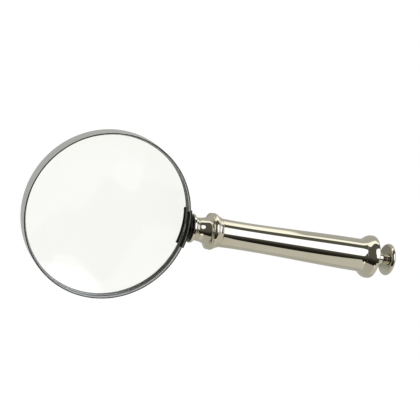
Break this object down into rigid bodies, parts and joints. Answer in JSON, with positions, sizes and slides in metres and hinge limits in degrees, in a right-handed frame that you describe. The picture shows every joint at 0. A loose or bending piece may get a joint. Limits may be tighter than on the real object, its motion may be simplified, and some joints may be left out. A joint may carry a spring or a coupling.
{
  "type": "hand magnifying glass",
  "caption": "Hand magnifier: round biconvex glass lens in a thin metal band rim, on a turned, polished metal handle with a bell neck, a flared end ferrule and a screw-on knob.",
  "frame": {"origin": "the lens's optical centre, halfway between the band's front and back edges", "axes": "+Z is the optical axis, out of the lens's front face; +X runs along the handle, from the lens to the knob"},
  "size_m": [0.2421, 0.1016, 0.0272],
  "materials": {
    "lens_glass": "clear polished optical glass, faintly green at the edge",
    "rim_nickel": "plain nickel plate, slightly dulled",
    "ring_wire": "drawn spring wire",
    "saddle_black": "chemically blackened steel, semi-gloss",
    "rod_steel": "zinc-plated threaded rod",
    "handle_nickel": "bright warm nickel plate on turned brass",
    "tube_nickel": "bright warm nickel plate on drawn tube",
    "bush_brass": "as turned",
    "washer_steel": "dark spring steel"
  },
  "bodies": {
    "magnifier": {"lens": "lens_glass", "rim_band": "rim_nickel", "lens_seat_ring": "ring_wire", "lens_snap_ring": "ring_wire", "rim_saddle": "saddle_black", "saddle_boss": "saddle_black", "saddle_rivets": "saddle_black", "tie_rod": "rod_steel", "base_disc": "handle_nickel", "neck_bead": "handle_nickel", "bell_cup": "handle_nickel", "lock_nut": "rod_steel", "bead_ring": "handle_nickel", "step_ring": "handle_nickel", "handle_tube": "tube_nickel", "front_bush": "bush_brass", "rear_bush": "bush_brass", "end_ferrule": "handle_nickel", "pommel_collar": "handle_nickel"},
    "washer": {"pommel_washer": "washer_steel"},
    "pommel": {"pommel_knob": "handle_nickel"}
  },
  "joints": [
    {"name": "pommel_travel", "type": "slide", "parent": "magnifier", "child": "washer", "axis": [1, 0, 0], "range_m": [0, 0.00351]},
    {"name": "pommel_turn", "type": "hinge", "parent": "washer", "child": "pommel", "pos_m": [0.188, 0, 0], "axis": [1, 0, 0], "range_deg": [0, 1800]}
  ],
  "couplings": [
    {"joint": "pommel_travel", "follows": "pommel_turn", "m_per_rad": 0.00011141}
  ]
}
